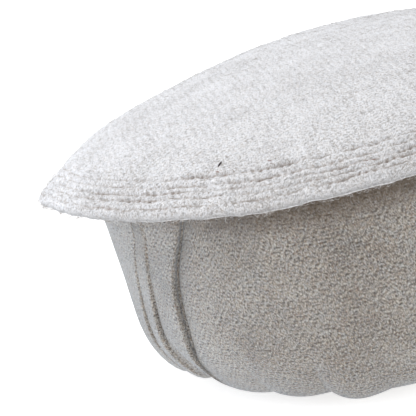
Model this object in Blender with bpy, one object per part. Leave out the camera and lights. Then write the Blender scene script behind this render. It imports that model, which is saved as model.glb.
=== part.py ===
"""A pakol: a round-topped wool hat with a quilted rim and a side rolled up into a thick band.

The hat stands on its rolled band with the head opening downwards. Units are metres, +Z is up,
the origin is on the floor under the middle of the hat, and the front faces -Y.
An azimuth is measured from the front, in degrees, and grows towards +X.

Two pieces of woven wool are made, as a hatter makes them: the crown, whose edge turns under to
form the rim, and the side, which starts as a flange under the rim, goes down round the head,
and is then wound outwards and up on itself. Each is a turned cross-section whose columns and
points are then moved by the folds, gathers and waves of the real cloth.
"""

import math

import bmesh
import bpy
from mathutils import Vector

# Cloth
WOOL = 0.0030  # thickness of the felted wool cloth
SEAM_GAP = 0.0004  # air between the crown and the side's flange
LAYER_GAP = 0.0010  # air between the turns of the roll

# Crown: a low, puffed dome that runs out into a sloping rim with a rounded edge
RIM_RADIUS = 0.1350
RIM_HEIGHT = 0.0993  # middle of the rounded edge above the floor
EDGE_RADIUS = WOOL + SEAM_GAP / 2
RIM_SLOPE = math.radians(30.0)
RIM_WIDTH = 0.0108  # straight part of the rim, measured level
DOME_ROUND = 0.0141  # rise of the dome that is spread over its whole width
DOME_PUFF = 0.0051  # further rise, mostly near the rim
DOME_PUFF_POWER = 8

# Side: a tube round the head, then the roll
HEAD_RADIUS = 0.0900  # inner face of the tube
FLANGE_RADII = (0.1145, 0.1075, 0.1005)  # the flange turns down from the last of these
SHOULDER_DROP = 0.0065
BAND_RADIUS = 0.1134  # outer face of the roll
ROLL_TOP = 0.1025
BAND_RUN_STEPS = 2  # extra points up the outer run of the roll
PLAIN_COLUMNS = 51  # columns round the hat, away from the tucks
HEM_LENGTH = 0.0300  # how far the hem hangs down inside the roll
FOOT_FLAT = 0.0034  # width of the foot's sole, where the hat stands

TUBE_LINE = HEAD_RADIUS + WOOL / 2
OUTER_LINE = BAND_RADIUS - WOOL / 2
LAYER = WOOL + LAYER_GAP

# The cloth's middle line makes a half turn at each end of the roll, from one upright run to the
# next. A turn starts at start_r, is lowest or highest at tip_r and tip_z, and ends at end_r.
# start_reach and end_reach are the heights over which it rounds. up is 1 for a turn at the foot.
TURNS = (
    # name, start_r, tip_r, end_r, tip_z, start_reach, end_reach, up, steps
    ("foot", TUBE_LINE, 0.0948, OUTER_LINE, WOOL / 2, 0.008, 0.031, 1, 6),
    ("top", OUTER_LINE, 0.1040, TUBE_LINE + LAYER, ROLL_TOP - WOOL / 2, 0.012, 0.008, -1, 4),
    ("inner_foot", TUBE_LINE + LAYER, 0.0985, OUTER_LINE - LAYER, WOOL / 2 + LAYER, 0.007, 0.028, 1, 4),
    ("inner_top", OUTER_LINE - LAYER, 0.1046, 0.1010, 0.0900, 0.010, 0.008, -1, 3),
)

# Tucks in the rolled cloth: where each crease runs, at the top, middle and foot of the band,
# how far the cloth left of it stands proud, how deep the crease is, and how wide the ridge is.
TUCK_HEIGHTS = (0.090, 0.053, 0.016)
TUCKS = (
    # name, top, middle, foot (azimuths), ridge, crease, ridge_width
    ("third", -54.0, -66.6, -70.4, 0.0006, 0.0010, 0.0090),
    ("second", -51.3, -59.9, -62.9, 0.0009, 0.0013, 0.0095),
    ("main", -38.1, -50.0, -51.5, 0.0014, 0.0018, 0.0150),
)
CREASE_WIDTH = 0.0020  # from the crest of the ridge to the bottom of the crease
CREASE_RECOVERY = 0.0100  # from there to the plain cloth beyond

# The foot of the roll gathers into lobes. A row gives the cusp where a lobe starts, how far the
# cusp is lifted off the floor, and how far the lobe after it is. A lobe below 0 is pressed flat.
LOBES = (
    # cusp_azimuth, cusp_lift, lobe_lift
    (-90.3, 0.0024, 0.0008),
    (-71.4, 0.0061, 0.0050),
    (-57.7, 0.0101, 0.0080),
    (-49.5, 0.0058, 0.0051),
    (-34.7, 0.0061, 0.0037),
    (-18.8, 0.0051, 0.0005),
    (-5.0, 0.0024, 0.0020),
    (20.0, 0.0030, -0.0012),
    (42.0, 0.0030, 0.0016),
    (64.0, 0.0030, -0.0012),
    (88.0, 0.0030, 0.0016),
    (110.0, 0.0030, -0.0012),
    (134.0, 0.0030, 0.0016),
    (156.0, 0.0030, -0.0012),
    (180.0, 0.0030, 0.0016),
    (202.0, 0.0030, -0.0012),
    (226.0, 0.0030, 0.0016),
    (248.0, 0.0030, -0.0012),
)
LOBE_SHARPNESS = 0.80
LOBE_HEIGHT = 0.045  # the gathers fade out this far up
LOBE_PULL = 0.35  # share of its lift by which the foot is also drawn inwards

# Slow waves of the soft cloth: whole cycles round the hat, size, and phase in degrees
RIM_RISE_WAVES = ((1, 0.0012, 138.0), (2, 0.0009, 187.0), (3, 0.0022, -84.0), (4, 0.0010, 63.0))
RIM_OUT_WAVES = ((1, 0.0018, 131.0), (2, 0.0007, -137.0), (3, 0.0003, -118.0), (4, 0.0014, 10.0))
RIM_DIPS = (
    # azimuth, half_width in degrees, drop, how far it also stands out
    (-89.0, 29.3, 0.0060, 0.0012),
    (-101.5, 14.2, 0.0008, 0.0010),
)
BAND_OUT_WAVES = ((2, 0.0009, -13.0), (3, 0.0013, 50.0))
BAND_SWELL = ((0.0, 0.0003), (0.020, 0.0005), (0.052, 0.0004), (0.092, 0.0013))  # height, how far out


def smooth_step(low, high, value):
    """0 below low, 1 above high, and a smooth rise between."""
    t = min(max((value - low) / (high - low), 0.0), 1.0)
    return t * t * (3 - 2 * t)


def waves(table, azimuth):
    """Sum of the slow waves in a table at this azimuth."""
    total = 0.0
    for cycles, size, phase in table:
        total += size * math.sin(math.radians(cycles * azimuth + phase))
    return total


# The rim is laid out along its slope: inward is the way up it, normal points off its upper face
EDGE_CENTRE = Vector((RIM_RADIUS - EDGE_RADIUS, RIM_HEIGHT))
RIM_INWARD = Vector((-math.cos(RIM_SLOPE), math.sin(RIM_SLOPE)))
RIM_NORMAL = Vector((math.sin(RIM_SLOPE), math.cos(RIM_SLOPE)))
RIM_LENGTH = RIM_WIDTH / math.cos(RIM_SLOPE)
DOME_EDGE = EDGE_CENTRE + RIM_NORMAL * EDGE_RADIUS + RIM_INWARD * RIM_LENGTH


def dome_point(radius, depth):
    """A point of the dome at this radius, moved in by depth along the surface normal."""
    share = radius / DOME_EDGE.x
    height = DOME_EDGE.y + DOME_ROUND * (1 - share**2)
    height += DOME_PUFF * (1 - share**DOME_PUFF_POWER)
    fall = DOME_ROUND * 2 * share + DOME_PUFF * DOME_PUFF_POWER * share ** (DOME_PUFF_POWER - 1)
    normal = Vector((fall / DOME_EDGE.x, 1.0)).normalized()
    return Vector((radius, height)) - normal * depth


def rim_point(inward, offset):
    """A point of the rim: this far up its slope from the edge's middle, and this far off it."""
    return EDGE_CENTRE + RIM_INWARD * inward + RIM_NORMAL * offset


def crown_section():
    """Half section of the crown, from the top's middle out, round the edge and back inside."""
    outer_radii = (0.0, 0.020, 0.042, 0.062, 0.080, 0.095, 0.107, 0.116)
    points = [dome_point(radius, 0.0) for radius in outer_radii]
    points += [rim_point(RIM_LENGTH, EDGE_RADIUS), rim_point(RIM_LENGTH / 2, EDGE_RADIUS)]
    edge_steps = 6
    for step in range(edge_steps + 1):
        turn = math.pi * step / edge_steps
        points.append(rim_point(-EDGE_RADIUS * math.sin(turn), EDGE_RADIUS * math.cos(turn)))
    inner_face = EDGE_RADIUS - WOOL
    points += [rim_point(0.0, inner_face), rim_point(RIM_LENGTH, inner_face)]
    for radius in (*FLANGE_RADII, 0.088, 0.066, 0.036):
        points.append(dome_point(radius, WOOL))
    top = dome_point(0.0, WOOL)
    return points + [top]


def turn_points(start_r, tip_r, end_r, tip_z, start_reach, end_reach, up, steps, flat=0.0):
    """The middle line round one turn of the roll: two quarter ellipses that meet at the tip."""
    points = []
    for step in range(steps + 1):
        angle = math.pi * step / steps
        first_half = angle <= math.pi / 2 + 0.001
        side_r = start_r if first_half else end_r
        reach = start_reach if first_half else end_reach
        near_r = tip_r + math.copysign(flat / 2, side_r - tip_r)
        radius = near_r + (side_r - near_r) * abs(math.cos(angle))
        points.append(Vector((radius, tip_z + up * reach * (1 - math.sin(angle)))))
    if flat:
        far_r = tip_r + math.copysign(flat / 2, end_r - tip_r)
        points.insert(steps // 2 + 1, Vector((far_r, tip_z)))
    return points


def side_middle_line():
    """The middle line of the side's cloth, from the flange's outer end to the hem in the roll."""
    below_rim = -SEAM_GAP / 2 - WOOL / 2
    below_dome = WOOL + SEAM_GAP + WOOL / 2
    line = [rim_point(SEAM_GAP, below_rim), rim_point(RIM_LENGTH, below_rim)]
    line += [dome_point(radius, below_dome) for radius in FLANGE_RADII]
    shoulder = line[-1]
    for angle in (math.radians(45), math.radians(90)):
        across = (shoulder.x - TUBE_LINE) * math.sin(angle)
        down = SHOULDER_DROP * (1 - math.cos(angle))
        line.append(shoulder + Vector((-across, -down)))
    for name, *turn in TURNS:
        if name == "top":
            foot_end = line[-1]
            top_start = turn_points(*turn)[0]
            for step in range(1, BAND_RUN_STEPS + 1):
                line.append(foot_end.lerp(top_start, step / (BAND_RUN_STEPS + 1)))
        line += turn_points(*turn, flat=FOOT_FLAT if name == "foot" else 0.0)
    line.append(line[-1] - Vector((0.0, HEM_LENGTH)))
    return line


def cloth_section(line, thickness):
    """Closed outline of a cloth of this thickness round its middle line."""
    left, right = [], []
    for index, point in enumerate(line):
        before = point - line[max(index - 1, 0)]
        after = line[min(index + 1, len(line) - 1)] - point
        if index == 0:
            before = after
        if index == len(line) - 1:
            after = before
        first, second = before.normalized(), after.normalized()
        along = (first + second).normalized()
        half = thickness / 2 / max(along.dot(first), 0.5)
        normal = Vector((-along.y, along.x))
        left.append(point + normal * half)
        right.append(point - normal * half)
    return left + right[::-1]


def through(points, value):
    """Straight-line interpolation through (position, result) pairs sorted by position."""
    for (low, at_low), (high, at_high) in zip(points, points[1:]):
        if value <= high:
            return at_low + (at_high - at_low) * (value - low) / (high - low)
    return points[-1][1]


def tuck_azimuth(top, middle, foot, height):
    """Where a crease runs at this height: a parabola through its three given azimuths."""
    high, mid, low = TUCK_HEIGHTS
    height = min(max(height, 0.0), high + 0.006)
    at_high = top * (height - mid) * (height - low) / ((high - mid) * (high - low))
    at_mid = middle * (height - high) * (height - low) / ((mid - high) * (mid - low))
    at_low = foot * (height - high) * (height - mid) / ((low - high) * (low - mid))
    return at_high + at_mid + at_low


FOLLOW_FROM, FOLLOW_TO = -88.0, -22.0  # azimuths between which the cloth's columns lean


def leaning_azimuth(azimuth, height):
    """Where the column that stands at this azimuth half way up is found at this height."""
    if not FOLLOW_FROM < azimuth < FOLLOW_TO:
        return azimuth
    stops = [(FOLLOW_FROM, FOLLOW_FROM)]
    stops += [(middle, tuck_azimuth(top, middle, foot, height)) for _, top, middle, foot, *_ in TUCKS]
    stops.append((FOLLOW_TO, FOLLOW_TO))
    return through(stops, azimuth)


def tuck_shift(azimuth):
    """How far the tucks push out the column that stands at this azimuth half way up."""
    shift = 0.0
    for _, _, middle, _, ridge, crease, ridge_width in TUCKS:
        offset = math.radians(azimuth - middle) * BAND_RADIUS
        if offset < 0:
            rise = smooth_step(-ridge_width, -CREASE_WIDTH, offset)
            fall = smooth_step(-CREASE_WIDTH, 0.0, offset)
            shift += ridge * rise - (ridge + crease) * fall
        else:
            shift -= crease * (1 - smooth_step(0.0, CREASE_RECOVERY, offset))
    return shift


def foot_lift(azimuth):
    """How far the foot of the roll is off the floor at this azimuth."""
    for index, (cusp, cusp_lift, lobe_lift) in enumerate(LOBES):
        next_cusp, next_lift = LOBES[(index + 1) % len(LOBES)][:2]
        share = ((azimuth - cusp) % 360) / ((next_cusp - cusp) % 360)
        if share < 1:
            level = cusp_lift + (next_lift - cusp_lift) * share
            return level - (level - lobe_lift) * math.sin(math.pi * share) ** LOBE_SHARPNESS
    return 0.0


def cloth_shape(radius, height, azimuth):
    """Where a point of the plain turned hat lies on the real, soft one: radius, height, azimuth."""
    out = smooth_step(HEAD_RADIUS + WOOL, BAND_RADIUS - WOOL, radius)
    on_band = out * (1 - smooth_step(RIM_HEIGHT - 0.006, RIM_HEIGHT + 0.002, height))
    on_band *= 1 - smooth_step(BAND_RADIUS + 0.001, BAND_RADIUS + 0.005, radius)
    at_rim = smooth_step(RIM_HEIGHT - 0.022, RIM_HEIGHT - 0.004, height)
    at_rim *= smooth_step(0.054, RIM_RADIUS, radius)
    lift = foot_lift(azimuth)
    near_foot = 1 - smooth_step(0.0, LOBE_HEIGHT, height)
    new_azimuth = azimuth + on_band * (leaning_azimuth(azimuth, height) - azimuth)
    out_by = tuck_shift(azimuth) + waves(BAND_OUT_WAVES, azimuth) + through(BAND_SWELL, height)
    new_radius = radius + on_band * out_by
    new_radius -= on_band * near_foot * lift * LOBE_PULL
    new_radius += at_rim * waves(RIM_OUT_WAVES, azimuth)
    new_height = height + near_foot * lift + at_rim * waves(RIM_RISE_WAVES, azimuth)
    for middle, half_width, drop, stand_out in RIM_DIPS:
        away = abs((azimuth - middle + 180) % 360 - 180)
        share = 1 - smooth_step(0.0, half_width, away)
        share *= at_rim * smooth_step(0.100, RIM_RADIUS, radius)
        new_height -= drop * share
        new_radius += stand_out * share
    return new_radius, max(new_height, 0.0), new_azimuth


def cloth_columns():
    """Azimuths of the columns: on every crest and crease of a tuck, and evenly elsewhere."""
    columns = []
    for _, _, middle, _, _, _, ridge_width in TUCKS:
        for offset in (-ridge_width * 0.62, -CREASE_WIDTH, -CREASE_WIDTH / 2, 0.0, 0.0022):
            columns.append(middle + math.degrees(offset / BAND_RADIUS))
    last = TUCKS[-1][2] + math.degrees(CREASE_RECOVERY / BAND_RADIUS)
    columns += [last - 2.6, last]
    spacing = (columns[0] + 360 - last) / PLAIN_COLUMNS
    columns += [last + spacing * step for step in range(1, PLAIN_COLUMNS)]
    return columns


def turned_mesh(name, section, closed, columns):
    """A section spun round Z, with its columns at the given azimuths, shaped as the cloth."""
    mesh = bmesh.new()
    corners = [mesh.verts.new((0.0, -point.x, point.y)) for point in section]
    edges = [mesh.edges.new(pair) for pair in zip(corners, corners[1:])]
    if closed:
        edges.append(mesh.edges.new((corners[-1], corners[0])))
    bmesh.ops.spin(
        mesh,
        geom=corners + edges,
        axis=(0, 0, 1),
        cent=(0, 0, 0),
        angle=2 * math.pi,
        steps=len(columns),
        use_merge=True,
    )
    bmesh.ops.remove_doubles(mesh, verts=mesh.verts, dist=0.00001)
    bmesh.ops.recalc_face_normals(mesh, faces=mesh.faces)
    step = 2 * math.pi / len(columns)
    for vert in mesh.verts:
        radius = math.hypot(vert.co.x, vert.co.y)
        index = round(math.atan2(vert.co.x, -vert.co.y) / step) % len(columns)
        radius, height, azimuth = cloth_shape(radius, vert.co.z, columns[index])
        angle = math.radians(azimuth)
        vert.co = (radius * math.sin(angle), -radius * math.cos(angle), height)
    data = bpy.data.meshes.new(name)
    mesh.to_mesh(data)
    mesh.free()
    return data


def wool_material(name, colour):
    """Plain matt wool."""
    material = bpy.data.materials.new(name)
    material.use_nodes = True
    surface = material.node_tree.nodes["Principled BSDF"]
    surface.inputs["Base Color"].default_value = (*colour, 1.0)
    surface.inputs["Roughness"].default_value = 0.95
    surface.inputs["Metallic"].default_value = 0.0
    return material


def add_piece(name, data, material, collection, parent):
    """One cloth piece of the hat as an object."""
    piece = bpy.data.objects.new(name, data)
    data.materials.append(material)
    data.shade_smooth()
    piece.parent = parent
    collection.objects.link(piece)
    return piece


def stand_in_middle(pieces):
    """Move the pieces so that the middle of their common outline is over the origin."""
    xs = [vert.co.x for piece in pieces for vert in piece.data.vertices]
    ys = [vert.co.y for piece in pieces for vert in piece.data.vertices]
    shift = Vector((-(min(xs) + max(xs)) / 2, -(min(ys) + max(ys)) / 2, 0.0))
    for piece in pieces:
        for vert in piece.data.vertices:
            vert.co += shift


def main():
    for old in list(bpy.data.objects):
        bpy.data.objects.remove(old)
    collection = bpy.data.collections.new("pakol")
    bpy.context.scene.collection.children.link(collection)
    frame = bpy.data.objects.new("hat_frame", None)
    collection.objects.link(frame)

    columns = cloth_columns()
    crown = turned_mesh("crown", crown_section(), False, columns)
    crown_wool = wool_material("crown_wool", (0.62, 0.58, 0.52))
    crown = add_piece("crown", crown, crown_wool, collection, frame)

    outline = cloth_section(side_middle_line(), WOOL)
    side = turned_mesh("rolled_side", outline, True, columns)
    side_wool = wool_material("side_wool", (0.56, 0.52, 0.46))
    side = add_piece("rolled_side", side, side_wool, collection, frame)
    stand_in_middle([crown, side])


main()
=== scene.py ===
"""The looks of a pakol: fine cloth, quilting, stitches, wool fibres, studio light and camera.

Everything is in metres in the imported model's frame: +Z up, the floor at z = 0, the front at -Y.
An azimuth is in degrees from the front and grows towards +X, as in the part's source.
"""
import math

import bpy
import numpy as np
from mathutils import Euler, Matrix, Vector, noise


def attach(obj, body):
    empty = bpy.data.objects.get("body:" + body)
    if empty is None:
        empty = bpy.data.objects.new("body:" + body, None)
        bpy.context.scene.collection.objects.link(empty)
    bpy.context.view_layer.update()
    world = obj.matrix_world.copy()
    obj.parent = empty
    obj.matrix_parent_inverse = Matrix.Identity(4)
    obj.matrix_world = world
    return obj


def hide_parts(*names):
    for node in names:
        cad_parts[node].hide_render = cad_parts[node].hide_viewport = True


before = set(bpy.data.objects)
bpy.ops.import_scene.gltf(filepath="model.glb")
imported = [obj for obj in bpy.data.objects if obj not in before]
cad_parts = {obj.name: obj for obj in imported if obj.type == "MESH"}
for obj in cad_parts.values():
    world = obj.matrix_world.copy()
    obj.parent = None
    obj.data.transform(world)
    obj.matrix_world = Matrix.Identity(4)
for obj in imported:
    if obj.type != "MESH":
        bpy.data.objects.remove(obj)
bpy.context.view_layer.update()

# Sizes, as in the part's source
AXIS_X, AXIS_Y = 0.0017085, 0.0011268  # where the hat's own axis stands
WOOL = 0.0030
SEAM_GAP = 0.0004
LAYER_GAP = 0.0010
RIM_RADIUS = 0.1350
RIM_HEIGHT = 0.0993
EDGE_RADIUS = WOOL + SEAM_GAP / 2
RIM_SLOPE = math.radians(30.0)
RIM_LENGTH = 0.0108 / math.cos(RIM_SLOPE)
DOME_ROUND = 0.0141
DOME_PUFF = 0.0051
DOME_PUFF_POWER = 8
HEAD_RADIUS = 0.0900
FLANGE_RADII = (0.1145, 0.1075, 0.1005)
SHOULDER_DROP = 0.0065
BAND_RADIUS = 0.1134
ROLL_TOP = 0.1025
HEM_LENGTH = 0.0300
FOOT_FLAT = 0.0034
TUBE_LINE = HEAD_RADIUS + WOOL / 2
OUTER_LINE = BAND_RADIUS - WOOL / 2
LAYER = WOOL + LAYER_GAP
TURNS = (
    # start_r, tip_r, end_r, tip_z, start_reach, end_reach, up
    (TUBE_LINE, 0.0948, OUTER_LINE, WOOL / 2, 0.008, 0.031, 1),
    (OUTER_LINE, 0.1040, TUBE_LINE + LAYER, ROLL_TOP - WOOL / 2, 0.012, 0.008, -1),
    (TUBE_LINE + LAYER, 0.0985, OUTER_LINE - LAYER, WOOL / 2 + LAYER, 0.007, 0.028, 1),
    (OUTER_LINE - LAYER, 0.1046, 0.1010, 0.0900, 0.010, 0.008, -1),
)
CLOTH_ROUND = 2 * math.pi * OUTER_LINE * 1.02  # length of the side's cloth round the hat, with its tucks
TUCK_HEIGHTS = (0.090, 0.053, 0.016)
TUCK_END = 0.096  # above this height the creases run straight up
TUCKS = (
    # top, middle, foot (azimuths), ridge, crease, ridge_width
    (-54.0, -66.6, -70.4, 0.0006, 0.0010, 0.0090),
    (-51.3, -59.9, -62.9, 0.0009, 0.0013, 0.0095),
    (-38.1, -50.0, -51.5, 0.0014, 0.0018, 0.0150),
)
CREASE_WIDTH = 0.0020
CREASE_RECOVERY = 0.0100
LOBES = (
    # cusp_azimuth, cusp_lift, lobe_lift
    (-90.3, 0.0024, 0.0008),
    (-71.4, 0.0061, 0.0050),
    (-57.7, 0.0101, 0.0080),
    (-49.5, 0.0058, 0.0051),
    (-34.7, 0.0061, 0.0037),
    (-18.8, 0.0051, 0.0005),
    (-5.0, 0.0024, 0.0020),
    (20.0, 0.0030, -0.0012),
    (42.0, 0.0030, 0.0016),
    (64.0, 0.0030, -0.0012),
    (88.0, 0.0030, 0.0016),
    (110.0, 0.0030, -0.0012),
    (134.0, 0.0030, 0.0016),
    (156.0, 0.0030, -0.0012),
    (180.0, 0.0030, 0.0016),
    (202.0, 0.0030, -0.0012),
    (226.0, 0.0030, 0.0016),
    (248.0, 0.0030, -0.0012),
)
LOBE_SHARPNESS = 0.80
LOBE_HEIGHT = 0.045
LOBE_PULL = 0.35
RIM_RISE_WAVES = ((1, 0.0012, 138.0), (2, 0.0009, 187.0), (3, 0.0022, -84.0), (4, 0.0010, 63.0))
RIM_OUT_WAVES = ((1, 0.0018, 131.0), (2, 0.0007, -137.0), (3, 0.0003, -118.0), (4, 0.0014, 10.0))
RIM_DIPS = (
    # azimuth, half_width, drop, stand_out
    (-89.0, 29.3, 0.0060, 0.0012),
    (-101.5, 14.2, 0.0008, 0.0010),
)
BAND_OUT_WAVES = ((2, 0.0009, -13.0), (3, 0.0013, 50.0))
BAND_SWELL = ((0.0, 0.0003), (0.020, 0.0005), (0.052, 0.0004), (0.092, 0.0013))  # height, how far out
FOLLOW_FROM, FOLLOW_TO = -88.0, -22.0  # the columns between these azimuths lean with the tucks
BAND_ENDS = (RIM_HEIGHT - 0.006, RIM_HEIGHT + 0.002)  # the band's own forms fade out between these heights
BAND_OUTSIDE = (BAND_RADIUS + 0.001, BAND_RADIUS + 0.005)  # and between these radii
RIM_BEGINS = (RIM_HEIGHT - 0.022, RIM_HEIGHT - 0.004)  # the rim's waves grow between these heights
RIM_WAVES_FROM = 0.054  # and from this radius to the edge
DIPS_FROM = 0.100  # the dips grow from this radius to the edge

# Finer forms of the band's cloth
MAIN_BOW = (0.037, 0.016, 1.6)  # the last tuck also bows: height, reach up and down, degrees
FOLD_LAP = 0.0016  # how far the edge of a fold lies over its crease
UNDER_FOLD = 0.85  # a crease sinks aslant, under the fold on its left, by this share of its azimuth
CREASE_SLITS = (0.0005, 0.0009, 0.0030)  # depth of the narrow slit along each crease
SLIT_HALF = 0.0010
SLIT_SKIN = (BAND_RADIUS - 0.0008, BAND_RADIUS - 0.0002)  # no slit inside these radii, a full one outside
TUCKS_PRESSED = (0.65, 0.030, 0.080)  # how much flatter the small tucks get, from this height to that
SLITS_CLOSED = (0.85, 0.020, 0.085)  # how much shallower their slits get
SLITS_AT_FOOT = (0.30, 0.006, 0.030)  # share of a slit's depth at the floor, grows from this height to that
CREASES_AT_FOOT = (0.35, 0.004, 0.030)  # the same for the creases
SLIT_SHADE, SLIT_FADE = 0.9, 1.5  # how much painted shade the deepest slit gets, and how fast shallower ones get less of it
OUTER_SKIN = BAND_RADIUS - 0.001  # the rings outside this radius get painted shade under the rim
PAINTED_RIM_SHADE = ((0.070, 0.0), (0.076, 0.07), (0.080, 0.20), (0.084, 0.46), (0.091, 0.74))  # height, how much painted shade

# Quilting of the rim
QUILT_ROWS = (
    # inward (up the slope from the edge's middle), wander, phase, depth
    (0.0001, 0.00060, 20.0, 0.00042),
    (0.0034, 0.00045, 130.0, 0.00042),
    (0.0067, 0.00045, 250.0, 0.00045),
    (0.0101, 0.00050, 310.0, 0.00045),
    (0.0140, 0.00065, 75.0, 0.00070),
)
# Unevenness along a row: cycles round the hat, size, and what the row's phase is multiplied by
WANDER_WAVES = ((2, 0.60, 1.0), (5, 0.50, 2.3), (11, 0.35, 3.1), (37, 0.30, 1.7), (83, 0.22, 4.3))
PITCH_WAVES = ((13, 0.55, 1.0), (29, 0.30, 2.0), (47, 0.16, 3.0))
PULL_WAVES = ((7, 0.22, 3.0), (23, 0.22, 5.0), (61, 0.16, 1.0))
PULL, LEAST_PULL = 0.62, 0.12  # how tightly the thread is pulled, on the whole and at least
GROOVE_HALF = (0.000825, 0.001320)  # half width of a groove between two needle holes and at one
HOLE_DEPTH = 0.00045
ROW_SHADE_HALF = 0.00070  # half width of the painted shade line along a row
ROW_SHADE_BETWEEN = 0.46  # how much painted shade there is between two holes, where it is 1 at a hole
STITCH_PITCH = 0.0030  # from one needle hole to the next
LOOSE_STITCHES = (-150.0, -110.0, -74.0, -36.0)  # azimuths: looser from, loosest from, to, tight again
LOOSE_DEPTH, LOOSE_SHADE = 0.30, 0.12  # what is left there of the grooves' depth and painted shade
PUFF = 0.00042  # how far the wool swells between the rows
PUFF_HALF = 0.0017  # from a row to the top of the swell beside it
PUFFED = (-0.004, 0.001, 0.0145, 0.0185)  # up the slope: the swell starts, is full, still full, has ended
EDGE_WAVES = (  # small unevenness of the rim
    (9, 0.00022, 40.0), (17, 0.00020, 200.0), (31, 0.00014, 10.0),
    (47, 0.00012, 80.0), (71, 0.00010, 300.0), (103, 0.00008, 150.0),
)
FELT = (
    # size, scale and shift of the noise that makes the quilted wool uneven
    (0.00034, 560.0, (3.0, 1.0, 7.0)),
    (0.00038, 190.0, (9.0, 5.0, 2.0)),
)
EDGE_SHADE = (0.50, 2.20)  # the turns, in radians, between which painted shade darkens the wool under the rim's edge

# Stitches, specks and loose fibres
STITCH_SPAN = (0.06, 0.94)  # where a stitch's thread starts and ends between its two holes
THREAD_RADIUS, THREAD_ARCH, THREAD_SUNK = 0.00014, 0.00010, 0.00005
SPECK_RISE = 0.00008
HAIR_SPREAD = 0.0006  # how far a hair's root is off the middle of its face, as a rule
HAIR_LENGTHS, HAIR_LIFTS, HAIR_RADII = (0.5, 1.5), (0.3, 1.5), (0.7, 1.3)  # shares of the size given
HAIR_CURL = 0.35
HAIR_ARCH = (0.10, 0.85)  # the stretch of a half turn that a hair's arch follows from root to tip
ROOT_DEPTH = 0.0001

# Fineness of the meshes
CROWN_COLUMNS = 480
QUILTED_FINER = 3  # times as many columns where the rim is quilted
SIDE_COLUMNS = 900
INNER_SHARE = 5  # the side's hidden rings have one in this many of its columns
TUCK_COLUMNS = (4.0, 0.5, 2.4)  # how many more at a tuck, beside 1 elsewhere, how far right of it, half width
MIDDLE_RADIUS = 0.0015  # the small face in the middle of the crown
DOME_RINGS, QUILTED_DOME_RINGS, RIM_RINGS, EDGE_RINGS = 33, 9, 22, 12
QUILTED_DOME = 0.0055  # how far the finer rings run on to the dome
FINE_EDGE_RINGS = 7  # this many of the edge's rings are finer too
UNDER_RIM_RINGS, UNDER_DOME_RINGS = 5, 24
FLANGE_POINTS = (5, 6, 4)  # under the rim, under the dome, and round the shoulder
TURN_STEPS = (20, 12, 8, 6)  # steps round each turn of the roll
RUN_POINTS = (14, 34, 6, 5)  # points along the straight run before it
HEM_POINTS = 3
STITCH_POINTS, SPECK_POINTS, HAIR_POINTS = 6, 6, 5


def smooth_step(low, high, value):
    """0 up to low and 1 from high on, with a smooth rise between."""
    t = np.clip((value - low) / (high - low), 0.0, 1.0)
    return t * t * (3 - 2 * t)


def at_least(least, share):
    """least where share is 0, 1 where it is 1."""
    return least + (1 - least) * share


def waves(table, azimuth):
    """Sum of sines round the hat, from the cycles, size and phase of each."""
    return sum(size * np.sin(np.radians(cycles * azimuth + phase)) for cycles, size, phase in table)


# The cloth's cross-sections
EDGE_CENTRE = np.array((RIM_RADIUS - EDGE_RADIUS, RIM_HEIGHT))
RIM_INWARD = np.array((-math.cos(RIM_SLOPE), math.sin(RIM_SLOPE)))
RIM_NORMAL = np.array((math.sin(RIM_SLOPE), math.cos(RIM_SLOPE)))
DOME_EDGE = EDGE_CENTRE + RIM_NORMAL * EDGE_RADIUS + RIM_INWARD * RIM_LENGTH


def dome_height(share):
    """Height of the dome's outer face at this share of the way from its middle to its edge."""
    return DOME_EDGE[1] + DOME_ROUND * (1 - share**2) + DOME_PUFF * (1 - share**DOME_PUFF_POWER)


def dome_point(radius, depth):
    share = radius / DOME_EDGE[0]
    fall = DOME_ROUND * 2 * share + DOME_PUFF * DOME_PUFF_POWER * share ** (DOME_PUFF_POWER - 1)
    normal = np.array((fall / DOME_EDGE[0], 1.0))
    return np.array((radius, dome_height(share))) - normal / np.linalg.norm(normal) * depth


def rim_point(inward, offset):
    return EDGE_CENTRE + RIM_INWARD * inward + RIM_NORMAL * offset


def crown_section():
    """Rings of the crown from the top's middle out, round the edge and back inside.

    A ring is its point, how far up the rim's slope it lies and its outward normal. The last two
    are None where the cloth is plain. The other rings have more columns."""
    rings = []
    dome_radius = DOME_EDGE[0] - QUILTED_DOME * math.cos(RIM_SLOPE)
    for radius in np.linspace(MIDDLE_RADIUS, dome_radius, DOME_RINGS, endpoint=False):
        rings.append((dome_point(radius, 0.0), None, None))
    for radius in np.linspace(dome_radius, DOME_EDGE[0], QUILTED_DOME_RINGS, endpoint=False):
        inward = RIM_LENGTH + (DOME_EDGE[0] - radius) / math.cos(RIM_SLOPE)
        rings.append((dome_point(radius, 0.0), inward, RIM_NORMAL))
    for inward in np.linspace(RIM_LENGTH, 0.0, RIM_RINGS):
        rings.append((rim_point(inward, EDGE_RADIUS), inward, RIM_NORMAL))
    for step in range(1, EDGE_RINGS + 1):
        turn = math.pi * step / EDGE_RINGS
        normal = RIM_NORMAL * math.cos(turn) - RIM_INWARD * math.sin(turn)
        point = EDGE_CENTRE + normal * EDGE_RADIUS
        fine = step <= FINE_EDGE_RINGS
        rings.append((point, -EDGE_RADIUS * turn, normal) if fine else (point, None, None))
    for inward in np.linspace(0.0, RIM_LENGTH, UNDER_RIM_RINGS):
        rings.append((rim_point(inward, EDGE_RADIUS - WOOL), None, None))
    for radius in np.linspace(FLANGE_RADII[0], MIDDLE_RADIUS, UNDER_DOME_RINGS):
        rings.append((dome_point(radius, WOOL), None, None))
    return rings


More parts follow.
